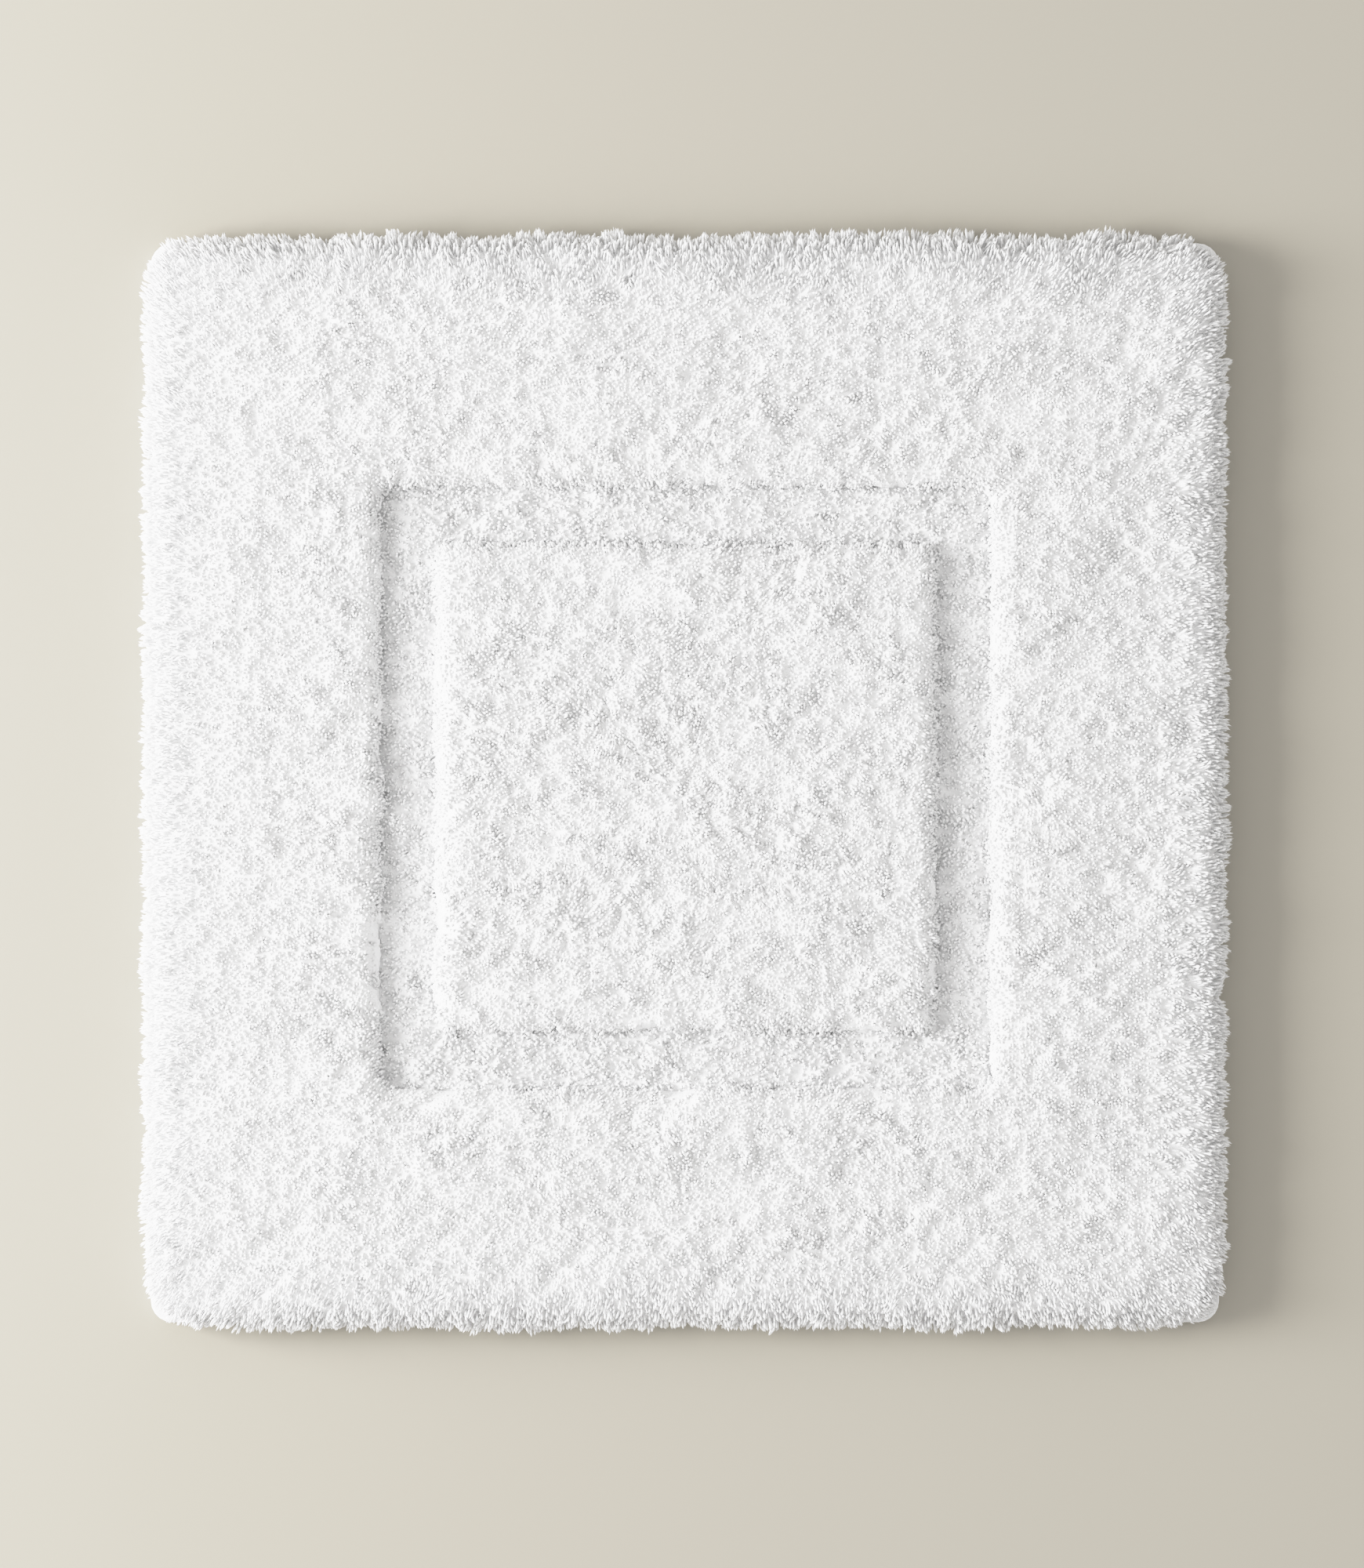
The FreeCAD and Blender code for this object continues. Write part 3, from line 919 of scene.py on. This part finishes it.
@cache
def tuft_tree():
    """Geometry Nodes that plant cut yarn ends on a guide mesh."""
    given = {
        "Geometry": "Geometry",
        "Spacing": 1.1 * MM,
        "Yarn Radius": 0.55 * MM,
        "Length Spread": 0.06,
        "Root Depth": 1 * MM,
        "Clump Size": 7 * MM,
        "Clump Pull": 0.1,
        "Lock Size": 4.5 * MM,
        "Lock Pull": 0.4,
        "Lock Lean": 0.5,
        "Clump Dome": 0.2,
        "Clump Lean": 0.35,
        "Parting": 0.4,
        "Loose": 0.45,
        "Stray": 0.12,
        "Curl": 0.0,
        "Lowest": LOWEST_YARN,
        "Seed": 0,
        "Material": "Material",
    }
    nodes = group_nodes("Cut pile", "GeometryNodeTree", given, {"Geometry": "Geometry"})
    given = nodes.given
    planted = nodes.add(
        "GeometryNodeDistributePointsOnFaces",
        {
            "Mesh": given["Geometry"],
            "Distance Min": given["Spacing"],
            "Density Max": 1.0 / DENSEST ** 2,
            "Density Factor": nodes.named("grow"),
            "Seed": given["Seed"],
        },
        distribute_method="POISSON",
    ).outputs
    start, knee, tip, reach = yarn_path(nodes, planted["Normal"])
    captured = (
        ("Start", "VECTOR", start),
        ("Knee", "VECTOR", knee),
        ("Tip", "VECTOR", tip),
        ("Tone", "FLOAT", nodes.chance(0.0, 1.0, 3.0)),
        ("Girth", "FLOAT", nodes.fade(reach, PLATEAU_YARN, SIDE_YARN, 1.0, 0.75)),
        ("Turn", "ROTATION", nodes.aimed(tip, "Z")),
    )
    kept = nodes.add("GeometryNodeCaptureAttribute", {"Geometry": planted["Points"]})
    for label, kind, value in captured:
        kept.capture_items.new(kind, label)
        nodes.tree.links.new(value, kept.inputs[label])

    cone = {"Vertices": 4, "Side Segments": 2, "Fill Segments": 1}
    cone.update({"Radius Top": 0.0, "Radius Bottom": 1.0, "Depth": 1.0})
    strand = nodes.add("GeometryNodeMeshCone", cone, fill_type="NGON").outputs["Mesh"]
    own = nodes.add("GeometryNodeCaptureAttribute", {"Geometry": strand})
    own.capture_items.new("VECTOR", "Own")
    nodes.tree.links.new(nodes.position(), own.inputs["Own"])
    real = nodes.stamped(kept.outputs["Geometry"], own.outputs["Geometry"])
    where, shade = yarn_skin(nodes, own.outputs["Own"], kept.outputs)
    # Stores the colour share, random tone and painted root shade, for the yarn material.
    toned = nodes.add(
        "GeometryNodeStoreNamedAttribute",
        {"Geometry": nodes.moved(real, Position=where), "Name": "yarn_tone", "Value": shade},
        data_type="FLOAT",
        domain="POINT",
    ).outputs[0]
    return nodes.give({"Geometry": nodes.painted(nodes.smoothed(toned))})


def make_pile(mesh, kind, node, names, sector, values):
    """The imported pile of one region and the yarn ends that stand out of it."""
    pile, colours = settings()
    name = mesh.name
    shade_smooth(mesh)
    lumps(mesh, 1.1 * MM, 40 * MM, 5)
    lumps(mesh, 0.7 * MM, 15 * MM, 6)
    points, normals = points_and_normals(mesh)
    fields = (*yarn_field(points, kind), grow_mask(points, normals, kind))
    for field, field_values in zip(FIELDS, fields):
        write_attribute(mesh, field, field_values)
    mesh.name = name + "_plain"
    plain = add_object(name + "_plain", mesh)
    clumps = {"Clump Size": values.get("Clump Size", pile.clump_size)}
    mass = run_nodes(plain, relief_tree(), clumps, name)
    paint(mass, matted_material("packed_pile", colours.yarn, 650.0, 0.85, 0.4 * MM, 0.3))
    place(mass, node, "pile_yarn")
    for index, (name, guide) in enumerate(sector_guides(mass.data, names, sector)):
        inputs = {
            "Spacing": pile.spacing,
            "Yarn Radius": pile.yarn_radius,
            "Clump Size": pile.clump_size,
            "Seed": pile.seed + 10 * index,
            "Material": yarn_material(),
            **values,
        }
        place(run_nodes(guide, tuft_tree(), inputs, name), node, "pile_yarn")


def border_sector(x, y):
    """0 to 7: the two halves of the right, left, back and front sides."""
    half_x, half_y = HEM.values[:2]
    beside = np.abs(x) / half_x > np.abs(y) / half_y
    right = np.where(y < 0, 0, 1)
    left = np.where(y < 0, 2, 3)
    back_front = np.where(y > 0, np.where(x > 0, 4, 5), np.where(x > 0, 6, 7))
    return np.where(beside, np.where(x > 0, right, left), back_front)


EIGHTHS = (
    "right_front", "right_back", "left_front", "left_back",
    "back_right", "back_left", "front_right", "front_left",
)
QUARTERS = ("front_left", "front_right", "back_left", "back_right")


def quarter_sector(x, y):
    return (x > 0).astype(int) + 2 * (y > CENTRE.values[3]).astype(int)


class MAT_OT_border_pile(Operator):
    """Make the tall pile round the outside"""

    bl_idname = "mat.border_pile"
    bl_label = "Border pile"

    def execute(self, context):
        names = ["border_tufts_" + part for part in EIGHTHS]
        make_pile(border_mass_mesh(), "border", "border_pile", names, border_sector, {})
        return {"FINISHED"}


class MAT_OT_channel_pile(Operator):
    """Make the short pile of the sunken channel"""

    bl_idname = "mat.channel_pile"
    bl_label = "Channel pile"

    def execute(self, context):
        names = ["channel_tufts_" + part for part in QUARTERS]
        values = {"Curl": 1.0 * MM, "Clump Lean": 0.6, "Stray": 0.45, "Clump Size": 5 * MM}
        make_pile(channel_mass_mesh(), "channel", "channel_pile", names, quarter_sector, values)
        return {"FINISHED"}


class MAT_OT_centre_pile(Operator):
    """Make the tall pile of the middle square"""

    bl_idname = "mat.centre_pile"
    bl_label = "Centre pile"

    def execute(self, context):
        names = ["centre_tufts_" + part for part in QUARTERS]
        make_pile(centre_mass_mesh(), "centre", "centre_pile", names, quarter_sector, {})
        return {"FINISHED"}


# ---- cloths, tape and seam --------------------------------------------------


def slab_mesh(name, outline, core, low, high, count):
    """A flat closed sheet between two levels, with rings of points from its edge to its middle."""
    shares = np.linspace(1, 0, count)
    sections = [(outline.towards(core, share), low) for share in shares]
    sections += [(outline.towards(core, share), high) for share in shares[::-1]]
    return loft_mesh(name, rings_of(sections), False)


def cloth_mesh(name, low, high, wave):
    """A thin closed sheet with a soft wave in it."""
    outline = outline_of(low, high, HEM_CORNER - TAPE_THICKNESS)
    mesh = slab_mesh(name, outline, middle_of(2 * MM), low.z, high.z, 24)
    points, _ = points_and_normals(mesh)
    calm = smoothstep(outline.depth(points[:, 0], points[:, 1]), 0, 20 * MM)
    points[:, 2] += wave * calm * soft_noise(points[:, 0], points[:, 1], 90 * MM, 31)
    move_points(mesh, points)
    shade_smooth(mesh)
    return mesh


class MAT_OT_backing_cloths(Operator):
    """Make the tufted cloth and the scrim"""

    bl_idname = "mat.backing_cloths"
    bl_label = "Backing cloths"

    def execute(self, context):
        _, colours = settings()
        cloths = (
            ("tufted_cloth", "primary_backing", "backing_cloth", CLOTH_LOW, CLOTH_HIGH, 900.0),
            ("scrim_cloth", "secondary_backing", "backing_scrim", SCRIM_LOW, SCRIM_HIGH, 450.0),
        )
        for name, node, slot, low, high, threads in cloths:
            piece = add_object(name, cloth_mesh(name, low, high, 0.02 * MM))
            paint(piece, cloth_material("woven_" + slot, colours.cloth, threads))
            place(piece, node, slot)
        return {"FINISHED"}


class MAT_OT_inner_layers(Operator):
    """Finish the latex and the back stitches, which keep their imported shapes"""

    bl_idname = "mat.inner_layers"
    bl_label = "Inner layers"

    def execute(self, context):
        _, colours = settings()
        latex = matted_material("dried_latex", colours.latex, 160.0, 0.6, 0.4 * MM, 0.0)
        paint(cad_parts["latex_precoat"], latex)
        stitches = matted_material("back_stitch_yarn", colours.yarn, 900.0, 0.8, 0.4 * MM, 0.2)
        paint(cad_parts["tuft_back_stitches"], stitches)
        return {"FINISHED"}


def arc_uv(mesh, rings):
    """A UV map in metres: along the outline and round the closed section."""
    count, around = rings.shape[:2]
    steps = np.linalg.norm(np.roll(rings[0], -1, 0) - rings[0], axis=1)
    gaps = np.linalg.norm(np.roll(rings[:, 0], -1, 0) - rings[:, 0], axis=1)
    along = np.concatenate([[0], np.cumsum(steps)])
    across = np.concatenate([[0], np.cumsum(gaps)])
    index = np.arange(count * around)
    i, j = index // around, index % around
    u = np.stack([along[j], along[j + 1], along[j + 1], along[j]], 1)
    v = np.stack([across[i], across[i], across[i + 1], across[i + 1]], 1)
    layer = mesh.uv_layers.new(name="Tape")
    layer.uv.foreach_set("vector", np.stack([u, v], 2).astype(np.float32).ravel())


def tape_section():
    """The folded tape's closed section as (inset, z): outside under, round and over, then back inside."""
    fold, dent = 1.1 * MM, 0.2 * MM
    before, after = SEAM_INSET - 1 * MM, SEAM_INSET + 1 * MM
    low, high = TAPE_BOTTOM, TAPE_TOP
    section = [(TAPE_UNDER, low + 0.1 * MM), (after, low), (SEAM_INSET, low + dent)]
    section += [(before, low), (3 * MM, low), (fold, low)]
    section += rounded((fold, low), (0, low + fold), 4, True)
    section += [(0, (low + high) / 2), (0, high - fold)]
    section += rounded((0, high - fold), (fold, high), 4, False)
    section += [(3 * MM, high), (before, high), (SEAM_INSET, high - dent), (after, high)]
    section += [(TAPE_OVER, high - 0.1 * MM), (TAPE_OVER, CLOTH_TOP + HAIR_GAP)]
    section += [(TAPE_THICKNESS, CLOTH_TOP + HAIR_GAP), (TAPE_THICKNESS, FILM_TOP - HAIR_GAP)]
    section += [(TAPE_UNDER, FILM_TOP - HAIR_GAP)]
    return section


class MAT_OT_edge_binding(Operator):
    """Make the tape folded round the mat's edge"""

    bl_idname = "mat.edge_binding"
    bl_label = "Edge binding"

    def execute(self, context):
        _, colours = settings()
        rings = np.array(rings_of([(HEM.inset(inset), z) for inset, z in tape_section()]))
        mesh = loft_mesh("hem_tape", rings, True)
        arc_uv(mesh, rings)
        shade_smooth(mesh)
        piece = add_object("hem_tape", mesh)
        paint(piece, cloth_material("hem_twill", colours.tape, 1400.0, slant=1.0, coords="Tape", sheen=0.3))
        place(piece, "edge_binding", "binding_tape")
        return {"FINISHED"}


@cache
def stitch_tree():
    """Geometry Nodes that lay one stitch after another along a line."""
    given = {
        "Geometry": "Geometry",
        "Pitch": 4 * MM,
        "Stitch Length": 3.4 * MM,
        "Thread Width": 0.6 * MM,
        "Thread Height": 0.3 * MM,
        "Material": "Material",
    }
    nodes = group_nodes("Stitch line", "GeometryNodeTree", given, {"Geometry": "Geometry"})
    given = nodes.given
    line = nodes.add("GeometryNodeMeshToCurve", {"Mesh": given["Geometry"]}).outputs[0]
    steps = nodes.add("GeometryNodeResampleCurve", {"Curve": line, "Length": given["Pitch"]}, mode="LENGTH")
    ball = nodes.add("GeometryNodeMeshUVSphere", {"Segments": 6, "Rings": 5, "Radius": 0.5}).outputs["Mesh"]
    size = nodes.join(given["Stitch Length"], given["Thread Width"], given["Thread Height"])
    tangent = nodes.add("GeometryNodeInputTangent").outputs[0]
    real = nodes.stamped(steps.outputs[0], ball, Rotation=nodes.aimed(tangent, "X"), Scale=size)
    return nodes.give({"Geometry": nodes.painted(nodes.smoothed(real))})


def stitch_line(name, node, points, closed, values):
    """Stitches along a line of points, as one piece that stands for a thread."""
    count = len(points)
    edges = [(i, (i + 1) % count) for i in range(count if closed else count - 1)]
    guide = add_object(name + "_line", new_mesh(name + "_line", points, edges, []))
    piece = run_nodes(guide, stitch_tree(), {"Material": thread_material(), **values}, name)
    place(piece, node, "sewing_thread")


class MAT_OT_seam_threads(Operator):
    """Lay the lockstitch seam's two threads along the tape"""

    bl_idname = "mat.seam_threads"
    bl_label = "Seam threads"

    def execute(self, context):
        for name, node, low, high in (
            ("needle_stitches", "binding_needle_thread", NEEDLE_LOW, NEEDLE_HIGH),
            ("bobbin_stitches", "binding_bobbin_thread", BOBBIN_LOW, BOBBIN_HIGH),
        ):
            path = outline_of(low, high, HEM_CORNER - 6 * MM).inset(0.3 * MM)
            points = profile_ring(path, (low.z + high.z) / 2)
            stitch_line(name, node, points, True, {"Thread Height": high.z - low.z})
        return {"FINISHED"}


# ---- grip film and label ----------------------------------------------------

STUD_PITCH = 22 * MM
STUD_ROOT = 8 * MM
STUD_TIP = 6.6 * MM
STUD_MARGIN = 6 * MM
LABEL_MARGIN = 3 * MM


def stud_mesh():
    """One square stud with soft edges, its root just inside the film."""
    height = FILM_TOP - FILM_THICKNESS
    rings = []
    for half, z, radius in (
        (STUD_ROOT / 2 + 0.3 * MM, height + HAIR_GAP, 1.2 * MM),
        (STUD_ROOT / 2, height - 0.15 * MM, 1.1 * MM),
        (STUD_TIP / 2 + 0.1 * MM, 0.25 * MM, 0.9 * MM),
        (STUD_TIP / 2 - 0.2 * MM, 0.0, 0.7 * MM),
    ):
        rings.append(profile_ring(Outline(half, half, radius), z, (1, 2))[::-1])
    return loft_mesh("stud_pattern", rings, False)


@cache
def stud_tree():
    """Geometry Nodes that set one stud on every point."""
    given = {"Geometry": "Geometry", "Stud": "Object", "Material": "Material"}
    nodes = group_nodes("Grip studs", "GeometryNodeTree", given, {"Geometry": "Geometry"})
    stud = nodes.add("GeometryNodeObjectInfo", {"Object": nodes.given["Stud"]}).outputs["Geometry"]
    real = nodes.stamped(nodes.given["Geometry"], stud)
    return nodes.give({"Geometry": nodes.painted(real)})


def stud_places():
    """Staggered rows of studs about the middle, clear of the tape and the label."""
    row_step = STUD_PITCH * math.sqrt(3) / 2
    limit_x = HEM.values[0] - TAPE_UNDER - STUD_MARGIN
    limit_y = HEM.values[1] - TAPE_UNDER - STUD_MARGIN
    rows, columns = int(limit_y / row_step), int(limit_x / STUD_PITCH) + 1
    reach = STUD_ROOT / 2 + LABEL_MARGIN
    places = []
    for row in range(-rows, rows + 1):
        for column in range(-columns, columns + 1):
            x = column * STUD_PITCH + (STUD_PITCH / 2 if row % 2 else 0)
            y = row * row_step
            by_label = LABEL_LOW.x - reach < x < LABEL_HIGH.x + reach and y > LABEL_LOW.y - reach
            if abs(x) <= limit_x and not by_label:
                places.append((x, y, 0.0))
    return places


class MAT_OT_grip_coat(Operator):
    """Make the grip film and its studs"""

    bl_idname = "mat.grip_coat"
    bl_label = "Grip film and studs"

    def execute(self, context):
        _, colours = settings()
        rubber = matted_material("milky_rubber", colours.rubber, 500.0, 0.5, 0.1 * MM, 0.0)
        outline, core = outline_of(FILM_LOW, FILM_HIGH, 1.5 * MM), middle_of(1.5 * MM)
        mesh = slab_mesh("grip_film", outline, core, FILM_TOP - FILM_THICKNESS, FILM_TOP, 12)
        film = add_object("grip_film", mesh)
        paint(film, rubber)
        pattern = add_object("stud_pattern", stud_mesh())
        guide = add_object("stud_points", new_mesh("stud_points", stud_places(), [], []))
        studs = run_nodes(guide, stud_tree(), {"Stud": pattern, "Material": rubber}, "grip_studs")
        bpy.data.objects.remove(pattern)
        for piece in (film, studs):
            place(piece, "grip_coat", "grip_rubber")
        return {"FINISHED"}


def label_mesh():
    """A blank ribbon with thin selvedges and a slight ripple towards its free end."""
    thick = LABEL_HIGH.z - LABEL_LOW.z
    middle, half = (LABEL_LOW + LABEL_HIGH) / 2, (LABEL_HIGH - LABEL_LOW) / 2
    across, along = np.meshgrid(np.linspace(-1, 1, 13), np.linspace(-1, 1, 25))
    selvedge = 1 - 0.35 * np.abs(across) ** 8
    ripple = 0.04 * MM * np.sin(along * 5) * (1 - along) / 2
    points = []
    for side in (-1, 1):
        z = middle.z + side * thick * 0.36 * selvedge + ripple
        layer = np.stack([middle.x + across * half.x, middle.y + along * half.y, z], 2)
        points.append(layer.reshape(-1, 3))
    rows, columns = across.shape
    size = rows * columns
    faces = []
    for i in range(rows - 1):
        for j in range(columns - 1):
            a, d = i * columns + j, (i + 1) * columns + j
            b, c = a + 1, d + 1
            faces += [[d, c, b, a], [a + size, b + size, c + size, d + size]]
    rim = list(range(columns)) + [columns * (i + 1) - 1 for i in range(1, rows)]
    rim += list(range(size - 2, size - columns - 1, -1)) + [columns * i for i in range(rows - 2, 0, -1)]
    faces += [[a, b, b + size, a + size] for a, b in zip(rim, rim[1:] + rim[:1])]
    mesh = new_mesh("ribbon_label", np.concatenate(points), [], faces)
    shade_smooth(mesh)
    return mesh


def tack_path():
    """Two bars of zigzag stitches across the label's fixed end."""
    level, swing = (TACKS_LOW.z + TACKS_HIGH.z) / 2, 0.35 * MM
    steps = np.linspace(TACKS_LOW.x + 0.3 * MM, TACKS_HIGH.x - 0.3 * MM, 19)
    path = []
    for bar, y in ((steps, TACKS_HIGH.y - 0.5 * MM), (steps[::-1], TACKS_LOW.y + 0.5 * MM)):
        path += [(x, y + (swing if count % 2 else -swing), level) for count, x in enumerate(bar)]
    return path


class MAT_OT_care_label(Operator):
    """Make the blank ribbon label and the tacks that hold it"""

    bl_idname = "mat.care_label"
    bl_label = "Care label"

    def execute(self, context):
        _, colours = settings()
        label = add_object("ribbon_label", label_mesh())
        paint(label, cloth_material("satin_ribbon", colours.tape, 2200.0, sheen=0.4))
        place(label, "care_label", "label_ribbon")
        tack_values = {
            "Pitch": 0.8 * MM,
            "Stitch Length": 1.0 * MM,
            "Thread Width": 0.35 * MM,
            "Thread Height": TACKS_HIGH.z - TACKS_LOW.z,
        }
        stitch_line("label_tack_stitches", "label_tacks", tack_path(), False, tack_values)
        return {"FINISHED"}


# ---- stage ------------------------------------------------------------------

FLOOR_REACH = 6.0
KEY_SIZE = (1.2, 1.5)
KEY_PLACE = (-2.25, 0.06, 1.02)
KEY_POWER = 127
SKY_COLOUR = (1.0, 0.99, 0.975, 1)
SKY_STRENGTH = 0.87
LENS, SENSOR = 100, 36
VIEW_HEIGHT = 0.875
VIEW_LEVEL = 20 * MM
EYE_X, EYE_Y = -1.7 * MM, -0.7 * MM

# Scene brightness and what it is shown as: white yarn rolls off softly instead of clipping.
HIGHLIGHT_CURVE = (
    (0.0, 0.0), (0.30, 0.30), (0.60, 0.59), (0.80, 0.74),
    (1.00, 0.82), (1.30, 0.905), (1.80, 0.95), (3.00, 0.965),
)


def soften_highlights(view):
    """Rolls bright whites off with a soft shoulder."""
    view.use_curve_mapping = True
    mapping = view.curve_mapping
    mapping.use_clip = False
    mapping.clip_max_x = HIGHLIGHT_CURVE[-1][0]
    curve = mapping.curves[3]
    curve.points[0].location = HIGHLIGHT_CURVE[0]
    curve.points[-1].location = HIGHLIGHT_CURVE[-1]
    for point in HIGHLIGHT_CURVE[1:-1]:
        curve.points.new(*point)
    mapping.update()


def make_floor(colour):
    reach = FLOOR_REACH
    corners = [(-reach, -reach, 0), (reach, -reach, 0), (reach, reach, 0), (-reach, reach, 0)]
    floor = add_object("floor", new_mesh("floor", corners, [], [(0, 1, 2, 3)]))
    material, _, shader = new_material("pale_floor")
    set_shader(shader, Base_Color=(*colour, 1), Roughness=0.9, Specular_Ior_Level=0.1)
    paint(floor, material)


def make_lights(scene):
    key = bpy.data.lights.new("key_light", "AREA")
    key.shape = "RECTANGLE"
    key.size, key.size_y = KEY_SIZE
    key.energy = KEY_POWER
    lamp = add_object("key_light", key)
    lamp.location = KEY_PLACE
    aim = lamp.location * -1
    lamp.rotation_mode = "QUATERNION"
    lamp.rotation_quaternion = aim.to_track_quat("-Z", "Y")
    world = bpy.data.worlds.new("studio")
    world.use_nodes = True
    sky = world.node_tree.nodes["Background"]
    sky.inputs[0].default_value = SKY_COLOUR
    sky.inputs[1].default_value = SKY_STRENGTH
    scene.world = world


class MAT_OT_stage(Operator):
    """Set up the floor, the lights and the camera above the mat"""

    bl_idname = "mat.stage"
    bl_label = "Floor, lights and camera"

    def execute(self, context):
        scene = context.scene
        _, colours = settings()
        make_floor(colours.floor)
        make_lights(scene)
        scene.view_settings.view_transform = "Standard"
        soften_highlights(scene.view_settings)
        camera = bpy.data.cameras.new("camera")
        camera.lens = LENS
        camera.sensor_width = SENSOR
        eye = add_object("camera", camera)
        eye.location = (EYE_X, EYE_Y, VIEW_HEIGHT * LENS / SENSOR + VIEW_LEVEL)
        scene.camera = eye
        return {"FINISHED"}


# ---- add-on -----------------------------------------------------------------

OPERATORS = (
    MAT_OT_stage,
    MAT_OT_border_pile,
    MAT_OT_channel_pile,
    MAT_OT_centre_pile,
    MAT_OT_backing_cloths,
    MAT_OT_inner_layers,
    MAT_OT_edge_binding,
    MAT_OT_seam_threads,
    MAT_OT_grip_coat,
    MAT_OT_care_label,
)


class MAT_PT_tools(Panel):
    """Buttons that make the mat, one piece or group of pieces each"""

    bl_idname = "MAT_PT_tools"
    bl_label = "Bath mat"
    bl_space_type = "VIEW_3D"
    bl_region_type = "UI"
    bl_category = "Bath mat"

    def draw(self, context):
        for operator in OPERATORS:
            self.layout.operator(operator.bl_idname)


CLASSES = (MatPileSettings, MatColourSettings, *OPERATORS, MAT_PT_tools)


def register():
    for cls in CLASSES:
        bpy.utils.register_class(cls)
    bpy.types.Scene.mat_pile = PointerProperty(type=MatPileSettings)
    bpy.types.Scene.mat_colours = PointerProperty(type=MatColourSettings)


def unregister():
    del bpy.types.Scene.mat_colours
    del bpy.types.Scene.mat_pile
    for cls in reversed(CLASSES):
        bpy.utils.unregister_class(cls)


def main():
    register()
    for operator in OPERATORS:
        space, call = operator.bl_idname.split(".")
        getattr(getattr(bpy.ops, space), call)()


if __name__ == "__main__":
    main()
